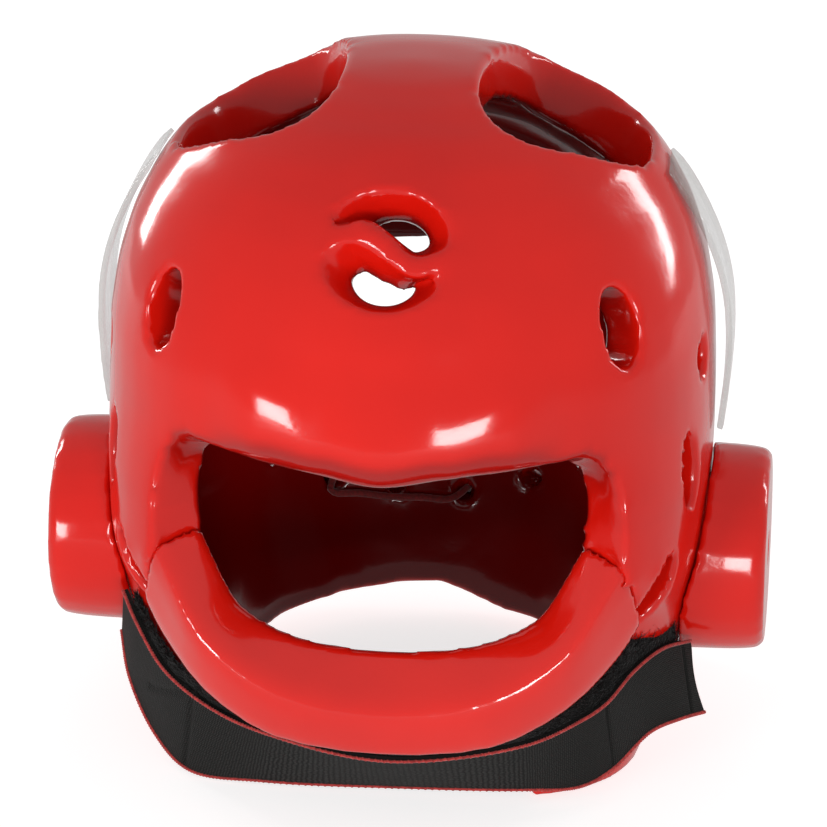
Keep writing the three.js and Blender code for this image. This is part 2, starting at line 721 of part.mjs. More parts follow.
const outerForm = headForm(0, -12, aroundSteps);
const innerForm = headForm(foamThickness, -14, aroundSteps);
let shell = outerForm.subtract(innerForm);
const floorSpan = 4 * headHalfWidth;
const floorCut = new THREE.BoxGeometry(floorSpan, floorSpan, 2 * foamThickness);
floorCut.translate(0, 0, -foamThickness);
[
  toManifold(floorCut),
  faceCutter(),
  crownCutter(1),
  crownCutter(-1),
  napeCutter(),
  hemCutter(),
  slitCutter(),
  templeCutter(1),
  templeCutter(-1),
  ...roundVentCutters(),
  ...laceHoles.map(laceCutter),
  ...cheekVents.flatMap((vent) => [cheekCutter(1, vent), cheekCutter(-1, vent)]),
  earCutter(1),
  earCutter(-1),
  chinSolid(clearance),
  backLace(clearance),
].forEach((cutter) => {
  shell = shell.subtract(cutter);
});

const grownForm = headForm(-clearance, -12, aroundSteps);
const chin = chinSolid(0);

const red = { color: 0xe02a1c, roughness: 0.16, metalness: 0 };
const black = { color: 0x232122, roughness: 0.9, metalness: 0 };

const group = new THREE.Group();
function addNode(name, solid, look) {
  const mesh = new THREE.Mesh(toGeometry(solid), new THREE.MeshStandardMaterial(look));
  mesh.name = name;
  group.add(mesh);
  return mesh;
}

addNode('head_shell', shell, red);
addNode('chin_guard', chin, red);
addNode('ear_cup_left', earCup(1, grownForm), red);
addNode('ear_cup_right', earCup(-1, grownForm), red);
addNode('side_band_left', sideBand(1).subtract(grownForm), { color: 0xaaa096, roughness: 0.12, metalness: 0 });
addNode('side_band_right', sideBand(-1).subtract(grownForm), { color: 0xaaa096, roughness: 0.12, metalness: 0 });
const edges = strapEdges(strapRows, 44);
addNode('chin_strap', strip(edges.tops, edges.lows, 0, strapThickness, 0, 0).subtract(grownForm), black);
addNode('under_strap', underStrap(edges.tops, edges.lows).subtract(grownForm), { ...black, color: 0x1b1a1b });
addNode('back_lace', backLace(0), { color: 0x8f1712, roughness: 0.6, metalness: 0 });

// The frame sits at the middle of the footprint box, on the surface.
const extent = new THREE.Box3().setFromObject(group);
const middle = extent.getCenter(new THREE.Vector3());
group.position.set(-middle.x, -middle.y, -extent.min.z);

export default group;
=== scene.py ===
import math
import random
import bmesh
import bpy
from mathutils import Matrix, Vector


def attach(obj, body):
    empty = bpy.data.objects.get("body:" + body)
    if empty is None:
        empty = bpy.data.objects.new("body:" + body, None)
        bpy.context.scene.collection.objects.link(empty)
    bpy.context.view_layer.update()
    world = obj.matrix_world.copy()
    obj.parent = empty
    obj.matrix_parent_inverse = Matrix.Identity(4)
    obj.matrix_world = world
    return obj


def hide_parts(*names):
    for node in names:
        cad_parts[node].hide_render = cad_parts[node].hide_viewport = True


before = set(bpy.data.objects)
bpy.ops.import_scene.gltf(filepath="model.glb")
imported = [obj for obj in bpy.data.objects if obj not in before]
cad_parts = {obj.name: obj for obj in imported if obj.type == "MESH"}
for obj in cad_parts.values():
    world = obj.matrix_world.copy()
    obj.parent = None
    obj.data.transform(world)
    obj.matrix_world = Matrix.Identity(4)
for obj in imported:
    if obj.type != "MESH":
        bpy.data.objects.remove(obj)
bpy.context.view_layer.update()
print("frame loaded")

# head sizes in metres; the strap's rows are shares of them
headSizes = {"halfWidth": 0.1145, "faceDepth": 0.108, "crownHeight": 0.2705, "frameShift": -0.0041}


def pickOnly(piece):
    bpy.ops.object.select_all(action="DESELECT")
    piece.select_set(True)
    bpy.context.view_layer.objects.active = piece


def applyModifier(piece, kind, name, **settings):
    pickOnly(piece)
    modifier = piece.modifiers.new(name, kind)
    for key, value in settings.items():
        setattr(modifier, key, value)
    bpy.ops.object.modifier_apply(modifier=name)


def copyNode(nodeName, pieceName):
    piece = bpy.data.objects.new(pieceName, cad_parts[nodeName].data.copy())
    bpy.context.scene.collection.objects.link(piece)
    piece.data.materials.clear()
    pickOnly(piece)
    bpy.ops.object.mode_set(mode="EDIT")
    bpy.ops.mesh.select_all(action="SELECT")
    bpy.ops.mesh.remove_doubles(threshold=0.000002)
    bpy.ops.object.mode_set(mode="OBJECT")
    return piece


def hangOn(piece, slotName, material, *nodeNames):
    piece.data.materials.clear()
    piece.data.materials.append(material)
    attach(piece, "root")
    if nodeNames:
        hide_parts(*nodeNames)


# the camera stands where the photograph was taken from
view = {"place": (0.1776, -1.5294, 0.7899), "target": (-0.0002, -0.0041, 0.1285), "lens": 190.9}
bpy.ops.object.camera_add(location=view["place"])
camera = bpy.context.object
camera.name = "photoCamera"
aim = Vector(view["target"]) - Vector(view["place"])
camera.rotation_euler = aim.to_track_quat("-Z", "Y").to_euler()
camera.data.lens = view["lens"]
camera.data.sensor_width = 36
bpy.context.scene.camera = camera
bpy.context.scene.view_settings.view_transform = "Standard"


def newMaterial(name):
    material = bpy.data.materials.new(name)
    material.use_nodes = True
    tree = material.node_tree
    return material, tree.nodes, tree.links, tree.nodes["Principled BSDF"]


def noiseOn(nodes, links, source, scale, detail, stretch=(1, 1, 1)):
    mapping = nodes.new("ShaderNodeMapping")
    mapping.inputs["Scale"].default_value = stretch
    noise = nodes.new("ShaderNodeTexNoise")
    noise.inputs["Scale"].default_value = scale
    noise.inputs["Detail"].default_value = detail
    links.new(source, mapping.inputs["Vector"])
    links.new(mapping.outputs["Vector"], noise.inputs["Vector"])
    return noise.outputs["Fac"]


def bumpOn(nodes, links, height, strength, distance, below=None):
    bump = nodes.new("ShaderNodeBump")
    bump.inputs["Strength"].default_value = strength
    bump.inputs["Distance"].default_value = distance
    links.new(height, bump.inputs["Height"])
    if below:
        links.new(below, bump.inputs["Normal"])
    return bump.outputs["Normal"]


def rampOn(nodes, links, factor, stops):
    ramp = nodes.new("ShaderNodeValToRGB")
    ramp.color_ramp.elements[0].position = stops[0][0]
    ramp.color_ramp.elements[0].color = (*stops[0][1], 1)
    ramp.color_ramp.elements[1].position = stops[-1][0]
    ramp.color_ramp.elements[1].color = (*stops[-1][1], 1)
    for place, colour in stops[1:-1]:
        ramp.color_ramp.elements.new(place).color = (*colour, 1)
    links.new(factor, ramp.inputs["Fac"])
    return ramp.outputs["Color"]


def rangeOn(nodes, links, factor, low, high):
    span = nodes.new("ShaderNodeMapRange")
    span.inputs["To Min"].default_value = low
    span.inputs["To Max"].default_value = high
    links.new(factor, span.inputs["Value"])
    return span.outputs["Result"]


# the dark inner red below is a painted shade colour: the hollow side of the shell and the underside of the
# brow are darkened towards it
vinylLook = {
    "deepRed": (0.64, 0.007, 0.003), "brightRed": (0.76, 0.010, 0.004), "paintedShadeRed": (0.17, 0.001, 0.001),
    "patchScale": 11, "deepBelow": 0.3, "brightAbove": 0.7,
    "waveScale": 16, "waveHeight": 0.0008, "waveStrength": 0.5,
    "pebbleScale": 480, "pebbleHeight": 0.00005, "pebbleStrength": 0.6,
    "roughScale": 60, "roughLow": 0.10, "roughHigh": 0.17,
    "specular": 0.38, "coat": 0.26, "coatRoughness": 0.04,
}


def dippedVinyl(name, look):
    material, nodes, links, shader = newMaterial(name)
    place = nodes.new("ShaderNodeTexCoord").outputs["Object"]
    patches = noiseOn(nodes, links, place, look["patchScale"], 3)
    outer = rampOn(nodes, links, patches, [(look["deepBelow"], look["deepRed"]),
                                           (look["brightAbove"], look["brightRed"])])
    # painted shade: the base colour is mixed towards the dark red wherever the shell's painted shade
    # attribute is set
    inside = nodes.new("ShaderNodeAttribute")
    inside.attribute_name = "inside"
    mix = nodes.new("ShaderNodeMix")
    mix.data_type = "RGBA"
    links.new(inside.outputs["Fac"], mix.inputs["Factor"])
    links.new(outer, mix.inputs["A"])
    mix.inputs["B"].default_value = (*look["paintedShadeRed"], 1)
    links.new(mix.outputs["Result"], shader.inputs["Base Color"])
    wear = noiseOn(nodes, links, place, look["roughScale"], 4)
    links.new(rangeOn(nodes, links, wear, look["roughLow"], look["roughHigh"]), shader.inputs["Roughness"])
    swells = noiseOn(nodes, links, place, look["waveScale"], 1)
    waves = bumpOn(nodes, links, swells, look["waveStrength"], look["waveHeight"])
    grains = noiseOn(nodes, links, place, look["pebbleScale"], 2)
    pebbles = bumpOn(nodes, links, grains, look["pebbleStrength"], look["pebbleHeight"], waves)
    links.new(pebbles, shader.inputs["Normal"])
    shader.inputs["Specular IOR Level"].default_value = look["specular"]
    shader.inputs["Coat Weight"].default_value = look["coat"]
    shader.inputs["Coat Roughness"].default_value = look["coatRoughness"]
    return material


shellVinyl = dippedVinyl("shellVinyl", vinylLook)
print("camera and vinyl ready")


# Foam bodies: the solid is remeshed evenly, its cut edges are rounded and its facets smoothed away.
# A zone (centre, radius, share) rounds its edges less, so small holes and joints keep their form.
foamLook = {
    "grain": 0.0018, "cornerPasses": 24, "cornerReturn": 13, "curvePasses": 40,
    "flatRounds": 5, "flatLow": 0.955, "flatHigh": 0.992, "zoneFade": 0.012,
}


def easeIn(value):
    value = max(0.0, min(1.0, value))
    return value * value * (3 - 2 * value)


def cornerShare(point, zones, fade):
    share = 1.0
    for centre, radius, kept in zones:
        share = min(share, kept + (1 - kept) * easeIn(((point - Vector(centre)).length - radius) / fade))
    return share


def paintGroup(piece, name, weights):
    group = piece.vertex_groups.new(name=name)
    steps = {}
    for index, weight in enumerate(weights):
        steps.setdefault(round(weight, 2), []).append(index)
    for weight, indices in steps.items():
        group.add(indices, weight, "REPLACE")
    return group.name


def flatShares(piece, look):
    shape = bmesh.new()
    shape.from_mesh(piece.data)
    shape.verts.ensure_lookup_table()
    near = [[edge.other_vert(vert).index for edge in vert.link_edges] for vert in shape.verts]
    normals = [vert.normal.copy() for vert in shape.verts]
    shape.free()
    for _ in range(look["flatRounds"]):
        fresh = []
        for index, others in enumerate(near):
            total = normals[index].copy()
            for other in others:
                total += normals[other]
            fresh.append(total / (len(others) + 1))
        normals = fresh
    flatSpan = look["flatHigh"] - look["flatLow"]
    return [max(0.0, min(1.0, (normal.length - look["flatLow"]) / flatSpan)) for normal in normals]


def roundFoam(piece, look, zones=()):
    shares = [cornerShare(vert.co, zones, look["zoneFade"]) for vert in piece.data.vertices]
    corner = paintGroup(piece, "corner", shares)
    applyModifier(piece, "SMOOTH", "roundOver", factor=0.5, iterations=look["cornerPasses"],
                  vertex_group=corner)
    applyModifier(piece, "SMOOTH", "fullness", factor=-0.5, iterations=look["cornerReturn"],
                  vertex_group=corner)
    curve = paintGroup(piece, "curve", flatShares(piece, look))
    applyModifier(piece, "SMOOTH", "fairSkin", factor=0.5, iterations=look["curvePasses"], vertex_group=curve)
    piece.vertex_groups.clear()
    pickOnly(piece)
    bpy.ops.object.shade_smooth()


def evenSkin(piece, look):
    applyModifier(piece, "REMESH", "evenSkin", mode="VOXEL", voxel_size=look["grain"])


# vents, lace holes, slit and the chin guard's seats
shellZones = [
    ((0.0, -0.078, 0.231), 0.022, 0.7),
    ((0.084, -0.068, 0.197), 0.022, 0.7), ((-0.084, -0.068, 0.197), 0.022, 0.7),
    ((0.112, -0.032, 0.169), 0.016, 0.7), ((-0.112, -0.032, 0.169), 0.016, 0.7),
    ((0.108, -0.050, 0.130), 0.022, 0.7), ((-0.108, -0.050, 0.130), 0.022, 0.7),
    ((0.101, -0.070, 0.089), 0.022, 0.7), ((-0.101, -0.070, 0.089), 0.022, 0.7),
    ((-0.020, 0.096, 0.054), 0.018, 0.1), ((0.011, 0.096, 0.0535), 0.018, 0.1),
    ((0.044, 0.090, 0.0633), 0.018, 0.1), ((-0.050, 0.090, 0.059), 0.018, 0.1),
    ((0.074, 0.072, 0.075), 0.018, 0.1), ((-0.079, 0.070, 0.075), 0.018, 0.1),
    ((0.0, 0.097, 0.080), 0.014, 0.2),
    ((0.082, -0.076, 0.094), 0.020, 0.08), ((-0.082, -0.076, 0.094), 0.020, 0.08),
]

# The forehead leans back towards the crown, and the brow rolls out and under above the face opening.
browLook = {
    "leanDepth": 0.009, "leanFrom": 0.150, "leanSpan": 0.100, "leanFade": 0.055,
    "flare": 0.0045, "flareFrom": 0.006, "crest": 0.010, "flareSpan": 0.038,
    "roll": 0.0065, "rollFrom": 0.004, "rollLimit": 1.2, "lowest": -0.016, "lowFade": 0.008,
    "fullAcross": 0.046, "fadeAcross": 0.022, "ahead": 0.05, "aheadFade": 0.02,
    "drop": 0.0052, "dropFrom": 0.018, "dropSpan": 0.04, "dropTo": 0.082, "dropFade": 0.02,
    "dropAhead": 0.02, "dropAheadFade": 0.03, "dropTop": 0.026, "dropTopFade": 0.022,
    "dropLow": -0.018, "dropLowFade": 0.010,
    "edge": [(0.0, 0.1435), (0.0218, 0.147), (0.0447, 0.153),
             (0.0607, 0.1569), (0.0733, 0.1558), (0.0813, 0.146)],
}


def browEdge(across):
    rows = browLook["edge"]
    if across >= rows[-1][0]:
        return rows[-1][1]
    for (nearX, nearZ), (farX, farZ) in zip(rows, rows[1:]):
        if across <= farX:
            return nearZ + (farZ - nearZ) * easeIn((across - nearX) / (farX - nearX))


def shapeBrow(piece, look):
    for vert in piece.data.vertices:
        spot = vert.co
        if spot.y > 0 or spot.z < 0.12:
            continue
        away = (spot - Vector(view["place"])).normalized()
        across, ahead = abs(spot.x), -spot.y
        above = spot.z - browEdge(across)
        depth = look["leanDepth"] * easeIn((spot.z - look["leanFrom"]) / look["leanSpan"])
        depth *= easeIn(ahead / look["leanFade"])
        rise = easeIn((above + look["flareFrom"]) / (look["crest"] + look["flareFrom"]))
        fall = 1 - easeIn((above - look["crest"]) / look["flareSpan"])
        under = max(0.0, 1 - (above + look["rollFrom"]) / (look["crest"] + look["rollFrom"]))
        brow = look["roll"] * min(under, look["rollLimit"]) ** 2 - look["flare"] * rise * fall
        brow *= easeIn((look["fullAcross"] + look["fadeAcross"] - across) / look["fadeAcross"])
        brow *= easeIn((ahead - look["ahead"]) / look["aheadFade"])
        depth += brow * easeIn((above - look["lowest"]) / look["lowFade"])
        drop = look["drop"] * easeIn((across - look["dropFrom"]) / look["dropSpan"])
        drop *= easeIn((look["dropTo"] - across) / look["dropFade"])
        drop *= easeIn((ahead - look["dropAhead"]) / look["dropAheadFade"])
        drop *= easeIn((look["dropTop"] - above) / look["dropTopFade"])
        drop *= easeIn((above - look["dropLow"]) / look["dropLowFade"])
        vert.co = spot + away * depth - Vector((0, 0, drop))


# The round vent narrows like a bowl towards the inside, on both sides of its bridge.
bowlLook = {
    "centre": (0.0, -0.094, 0.2307), "outward": (0.0, -0.84, 0.543), "upward": (0.0, 0.543, 0.84),
    "radius": 0.0245, "sway": 0.006, "upper": (0.004, 0.006), "lower": (-0.0024, -0.012),
    "narrowing": 0.48, "wall": 0.017, "front": -0.004, "back": 0.04, "reach": 0.036, "fade": 0.011,
    "bridgeHalf": 0.004, "bridgeCentre": (0.0, -0.078, 0.231),
    "bridgeRadius": 0.017, "bridgeFade": 0.004, "bridgeGrowth": 0.0024,
}


def bowlVent(piece, look):
    centre, outward, upward = (Vector(look[name]) for name in ("centre", "outward", "upward"))
    for vert in piece.data.vertices:
        away = vert.co - centre
        depth, across, up = -away.dot(outward), away.x, away.dot(upward)
        span = math.hypot(across, up)
        if span > look["reach"] or depth < look["front"] or depth > look["back"]:
            continue
        share = look["narrowing"] * easeIn(depth / look["wall"])
        share *= easeIn((look["reach"] - span) / look["fade"])
        bridge = -look["sway"] * math.sin(math.pi * across / look["radius"])
        side = easeIn((up - bridge + look["bridgeHalf"]) / (2 * look["bridgeHalf"]))
        middle = Vector(look["lower"]).lerp(Vector(look["upper"]), side)
        vert.co += Vector((1, 0, 0)) * (middle.x - across) * share + upward * (middle.y - up) * share


# The rim of the face opening is softened most under the brow, and the low hem only behind the cheeks.
rimLook = {
    "besideRows": [(0.0859, 0.1338), (0.0876, 0.1147)], "stepsPerRow": 6, "roundness": 2.5,
    "near": 0.014, "fade": 0.013, "besideLoss": 0.8, "besideFrom": 0.052, "besideSpan": 0.016,
    "back": -0.03, "low": 0.09, "high": 0.19, "passes": 44,
}
hemLook = {"top": 0.036, "fade": 0.012, "front": -0.03, "frontFade": 0.02, "passes": 26}


def faceRim(look):
    rows = browLook["edge"] + look["besideRows"]
    points = []
    for (nearX, nearZ), (farX, farZ) in zip(rows, rows[1:]):
        for step in range(look["stepsPerRow"]):
            share = step / look["stepsPerRow"]
            across, height = nearX + (farX - nearX) * share, nearZ + (farZ - nearZ) * share
            beside = (across / headSizes["halfWidth"]) ** look["roundness"]
            ahead = headSizes["faceDepth"] * (1 - beside) ** (1 / look["roundness"])
            points.append(Vector((across, headSizes["frameShift"] - ahead, height)))
    return points


def rimShares(piece, look):
    rim = faceRim(look)
    shares = []
    for vert in piece.data.vertices:
        spot = Vector((abs(vert.co.x), vert.co.y, vert.co.z))
        if spot.y > look["back"] or spot.z < look["low"] or spot.z > look["high"]:
            shares.append(0.0)
            continue
        kept = 1 - look["besideLoss"] * easeIn((spot.x - look["besideFrom"]) / look["besideSpan"])
        gap = min((spot - point).length for point in rim)
        shares.append(kept * (1 - easeIn((gap - look["near"]) / look["fade"])))
    return shares


def hemShares(piece, look):
    return [easeIn((look["top"] - vert.co.z) / look["fade"])
            * easeIn((vert.co.y - look["front"]) / look["frontFade"]) for vert in piece.data.vertices]


def bridgeShares(piece, look):
    centre = Vector(look["bridgeCentre"])
    return [easeIn((look["bridgeRadius"] - (vert.co - centre).length) / look["bridgeFade"])
            for vert in piece.data.vertices]


# The dipped skin draws in halfway through each lace hole: centre, then how far it closes.
laceHoles = [
    ((-0.020, 0.096, 0.054), 0.6), ((0.011, 0.096, 0.0535), 0.6), ((0.044, 0.090, 0.0633), 0.8),
    ((-0.050, 0.090, 0.059), 0.8), ((0.074, 0.072, 0.075), 0.8), ((-0.079, 0.070, 0.075), 0.8),
]


holeLook = {"reach": 0.014, "depth": 0.0075, "depthFade": 0.004, "width": 0.0085, "widthFade": 0.002}


def pinchHoles(piece, holes, look):
    for centre, closing in holes:
        middle = Vector(centre)
        axis = Vector((middle.x, middle.y - headSizes["frameShift"], 0)).normalized()
        for vert in piece.data.vertices:
            away = vert.co - middle
            if away.length > look["reach"]:
                continue
            along = away.dot(axis)
            across = away - axis * along
            share = closing * easeIn((look["depth"] - abs(along)) / look["depthFade"])
            share *= easeIn((look["width"] - across.length) / look["widthFade"])
            vert.co -= across * share


# Painted shade: the hollow side of the shell and the underside of the brow are darkened in the colour, as if
# in their own shade.
paintedShadeLook = {"middle": (0.0, -0.0041, 0.12), "turned": 0.1, "turnSpan": 0.7,
             "browBack": -0.05, "browLow": 0.12, "browHigh": 0.17, "browShade": 0.6,
             "browTurned": 0.15, "browSpan": 0.6}


def paintShadeInside(piece, look):
    inside = piece.data.attributes.new("inside", "FLOAT", "POINT")
    for vert, value in zip(piece.data.vertices, inside.data):
        outward = (vert.co - Vector(look["middle"])).normalized()
        # painted shade: points turned towards the head's middle get a darker colour, not less light
        shade = easeIn((look["turned"] - vert.normal.dot(outward)) / look["turnSpan"])
        if vert.co.y < look["browBack"] and look["browLow"] < vert.co.z < look["browHigh"]:
            # painted shade under the brow: downward-facing points above the face opening are darkened
            below = easeIn((look["browTurned"] - vert.normal.z) / look["browSpan"])
            shade = max(shade, look["browShade"] * below)
        value.value = shade


headShell = copyNode("head_shell", "headShell")
evenSkin(headShell, foamLook)
bridge = paintGroup(headShell, "bridge", bridgeShares(headShell, bowlLook))
applyModifier(headShell, "DISPLACE", "thickerBridge", strength=bowlLook["bridgeGrowth"], mid_level=0,
              vertex_group=bridge)
bowlVent(headShell, bowlLook)
rim = paintGroup(headShell, "rim", rimShares(headShell, rimLook))
applyModifier(headShell, "SMOOTH", "softRim", factor=0.5, iterations=rimLook["passes"], vertex_group=rim)
hem = paintGroup(headShell, "hem", hemShares(headShell, hemLook))
applyModifier(headShell, "SMOOTH", "softHem", factor=0.5, iterations=hemLook["passes"], vertex_group=hem)
pinchHoles(headShell, laceHoles, holeLook)
roundFoam(headShell, foamLook, shellZones)
shapeBrow(headShell, browLook)
# paints shade into the shell's colour on the hollow side and under the brow
paintShadeInside(headShell, paintedShadeLook)
hangOn(headShell, "shell_skin", shellVinyl, "head_shell")
print("head shell", len(headShell.data.polygons))

# the chin guard is glossier than the shell
guardLook = dict(foamLook, grain=0.0015, cornerPasses=9, cornerReturn=5)
guardFinish = dict(vinylLook, coat=0.8)
guardZones = [((0.082, -0.076, 0.094), 0.018, 0.08), ((-0.082, -0.076, 0.094), 0.018, 0.08)]
chinGuard = copyNode("chin_guard", "chinGuard")
evenSkin(chinGuard, guardLook)
roundFoam(chinGuard, guardLook, guardZones)
hangOn(chinGuard, "shell_skin", dippedVinyl("guardVinyl", guardFinish), "chin_guard")
print("chin guard", len(chinGuard.data.polygons))

cupLook = dict(foamLook, grain=0.0015, cornerPasses=9, cornerReturn=4, curvePasses=34)
for sideName in ("Left", "Right"):
    nodeName = "ear_cup_" + sideName.lower()
    earCup = copyNode(nodeName, "earCup" + sideName)
    evenSkin(earCup, cupLook)
    roundFoam(earCup, cupLook)
    hangOn(earCup, "shell_skin", shellVinyl, nodeName)
    print("ear cup", sideName, len(earCup.data.polygons))


# a smooth curve through the chosen points, even where they lie unevenly
def smoothRail(points, steps):
    ghosts = [points[0] * 2 - points[1]] + points + [points[-1] * 2 - points[-2]]
    spans = len(points) - 1
    rail = []
    for step in range(steps + 1):
        place = step / steps * spans
        span = min(int(place), spans - 1)
        before, start, finish, after = ghosts[span:span + 4]
        s = place - span
        first = (start - before).length ** 0.5
        middle = (finish - start).length ** 0.5
        last = (after - finish).length ** 0.5
        chord = (finish - start) / middle
        leave = ((start - before) / first - (finish - before) / (first + middle) + chord) * middle
        arrive = (chord - (after - start) / (middle + last) + (after - finish) / last) * middle
        rail.append(start * (2 * s ** 3 - 3 * s ** 2 + 1) + leave * (s ** 3 - 2 * s ** 2 + s)
                    + finish * (3 * s ** 2 - 2 * s ** 3) + arrive * (s ** 3 - s ** 2))
    return rail


# each row: top edge across, ahead, height, then the low edge, as shares of the head sizes
strapRows = [
    (-0.915, 0.47, 0.267, -0.955, 0.30, 0.172),
    (-0.86, 0.53, 0.228, -0.915, 0.395, 0.116),
    (-0.755, 0.62, 0.175, -0.82, 0.465, 0.042),
    (-0.59, 0.69, 0.134, -0.69, 0.565, 0.009),
    (-0.39, 0.745, 0.11, -0.44, 0.605, 0.007),
    (0.0, 0.80, 0.0908, 0.0, 0.61, 0.0101),
    (0.445, 0.74, 0.114, 0.44, 0.605, 0.0161),
    (0.615, 0.69, 0.1443, 0.615, 0.60, 0.0242),
    (0.70, 0.65, 0.1665, 0.715, 0.57, 0.0464),
    (0.785, 0.59, 0.2069, 0.84, 0.49, 0.0939),
    (0.865, 0.49, 0.222, 0.93, 0.435, 0.104),
    (0.955, 0.34, 0.2089, 1.01, 0.37, 0.104),
]


def headPoint(across, ahead, height):
    return Vector((across * headSizes["halfWidth"], -ahead * headSizes["faceDepth"] + headSizes["frameShift"],
                   height * headSizes["crownHeight"]))


railSteps = 220
topRail = smoothRail([headPoint(*row[:3]) for row in strapRows], railSteps)
lowRail = smoothRail([headPoint(*row[3:]) for row in strapRows], railSteps)


def railInward(index):
    before, after = max(index - 1, 0), min(index + 1, railSteps)
    along = topRail[after] + lowRail[after] - topRail[before] - lowRail[before]
    return (topRail[index] - lowRail[index]).cross(along).normalized()


inwards = [railInward(index) for index in range(railSteps + 1)]


def railRead(values, share):
    place = max(0.0, min(1.0, share)) * railSteps
    index = min(int(place), railSteps - 1)
    return values[index].lerp(values[index + 1], place - index)


def railLength(rail):
    return sum((after - before).length for before, after in zip(rail, rail[1:]))


strapLength = railLength(topRail)
strapWidth = 0.036


# Ribbon between the two strap rails; start and end are shares along, rise and foot shift its edges.
def ribbon(name, size, depthAt, riseAt, alongAt):
    bpy.ops.mesh.primitive_grid_add(x_subdivisions=size["alongCuts"], y_subdivisions=size["acrossCuts"],
                                    size=1)
    piece = bpy.context.object
    piece.name = name
    for vert in piece.data.vertices:
        across = vert.co.y + 0.5
        along = alongAt(size["start"] + (size["end"] - size["start"]) * (vert.co.x + 0.5), across)
        top, low = railRead(topRail, along), railRead(lowRail, along)
        upper, lower = top.lerp(low, -riseAt(along)), low.lerp(top, size["foot"])
        depth = size["depth"] + depthAt(along, across)
        vert.co = lower.lerp(upper, across) + railRead(inwards, along) * depth
    for loop in piece.data.uv_layers.active.data:
        loop.uv = (loop.uv[0] * strapLength, loop.uv[1] * strapWidth)
    applyModifier(piece, "SOLIDIFY", "cloth", thickness=size["thickness"], offset=-1)
    pickOnly(piece)
    bpy.ops.object.shade_smooth_by_angle(angle=math.radians(50))
    return piece


wovenLook = {
    "yarn": (0.024, 0.023, 0.021), "gap": (0.001, 0.001, 0.001), "patch": (0.006, 0.006, 0.005),
    "ribPeriod": 0.0010, "rowPeriod": 0.0009, "unevenness": 3.5, "patchScale": 160, "yarnHeight": 0.0004,
}


def wovenElastic(name, look):
    material, nodes, links, shader = newMaterial(name)
    place = nodes.new("ShaderNodeTexCoord").outputs["UV"]
    heights = []
    for axis, period in (("X", look["ribPeriod"]), ("Y", look["rowPeriod"])):
        wave = nodes.new("ShaderNodeTexWave")
        wave.bands_direction = axis
        wave.inputs["Scale"].default_value = math.pi / 10 / period
        wave.inputs["Distortion"].default_value = look["unevenness"]
        wave.inputs["Detail"].default_value = 2
        wave.inputs["Detail Scale"].default_value = 1.5
        links.new(place, wave.inputs["Vector"])
        heights.append(wave.outputs["Fac"])
    cross = nodes.new("ShaderNodeMath")
    cross.operation = "MULTIPLY"
    links.new(heights[0], cross.inputs[0])
    links.new(heights[1], cross.inputs[1])
    yarn = rampOn(nodes, links, cross.outputs["Value"], [(0.05, look["gap"]), (0.7, look["yarn"])])
    patches = noiseOn(nodes, links, place, look["patchScale"], 3)
    mix = nodes.new("ShaderNodeMix")
    mix.data_type = "RGBA"
    links.new(patches, mix.inputs["Factor"])
    links.new(yarn, mix.inputs["A"])
    mix.inputs["B"].default_value = (*look["patch"], 1)
    links.new(mix.outputs["Result"], shader.inputs["Base Color"])
    links.new(bumpOn(nodes, links, cross.outputs["Value"], 0.7, look["yarnHeight"]), shader.inputs["Normal"])
    shader.inputs["Roughness"].default_value = 0.8
    shader.inputs["Specular IOR Level"].default_value = 0.25
    shader.inputs["Sheen Weight"].default_value = 0.05
    return material


# sewn seams and folds on the strap: share along and across at both ends, then depth
strapSeams = [(0.727, 1.0, 0.735, 0.0, 0.0009), (0.975, 1.0, 0.955, 0.0, 0.0008),
              (0.235, 1.0, 0.26, 0.0, 0.0011), (0.23, 1.0, 0.15, 0.5, 0.0009)]
seamLook = {"halfWidth": 0.0010, "edgeFade": 0.07, "curlFrom": 0.93, "curl": 0.010, "curlAcross": 1.1}


def seamDepth(along, across):
    depth = 0.0
    spot = Vector((along * strapLength, across * strapWidth))
    for startAlong, startAcross, endAlong, endAcross, deep in strapSeams:
        start = Vector((startAlong * strapLength, startAcross * strapWidth))
        run = Vector((endAlong * strapLength, endAcross * strapWidth)) - start
        share = max(0.0, min(1.0, (spot - start).dot(run) / run.length_squared))
        gap = (spot - start - run * share).length
        depth += deep * math.exp(-(gap / seamLook["halfWidth"]) ** 2)
    return depth * easeIn(min(across, 1 - across) / seamLook["edgeFade"])


def curledEnd(along, across):
    reach = easeIn((along - seamLook["curlFrom"]) / (1 - seamLook["curlFrom"]))
    return along - seamLook["curl"] * reach * math.sin(math.pi * min(1.0, across * seamLook["curlAcross"]))


strapSize = {"start": 0.0, "end": 1.0, "foot": 0.0, "depth": 0.0, "thickness": 0.0018,
             "alongCuts": 420, "acrossCuts": 16}
chinStrap = ribbon("chinStrap", strapSize, seamDepth, lambda along: 0.0, curledEnd)
hangOn(chinStrap, "strap_elastic", wovenElastic("wovenElastic", wovenLook), "chin_strap")
print("chin strap", len(chinStrap.data.polygons))

# whipped red thread on the strap's edges
threadLook = {
    "pitch": 0.0012, "reach": 0.0005, "radius": 0.00028, "pointsPerTurn": 7,
    "core": 0.00056, "coreEvery": 4, "coreInward": 0.4, "coreOutward": 0.2,
    "red": (0.52, 0.040, 0.034), "darkRed": (0.26, 0.010, 0.009), "fuzzScale": 900,
}


def threadMaterial(name, look):
    material, nodes, links, shader = newMaterial(name)
    place = nodes.new("ShaderNodeTexCoord").outputs["Object"]
    fuzz = noiseOn(nodes, links, place, look["fuzzScale"], 2)
    dye = rampOn(nodes, links, fuzz, [(0.3, look["darkRed"]), (0.65, look["red"])])
    links.new(dye, shader.inputs["Base Color"])
    links.new(bumpOn(nodes, links, fuzz, 0.4, 0.0002), shader.inputs["Normal"])
    shader.inputs["Roughness"].default_value = 0.8
    shader.inputs["Sheen Weight"].default_value = 0.3
    return material


redThread = threadMaterial("redThread", threadLook)


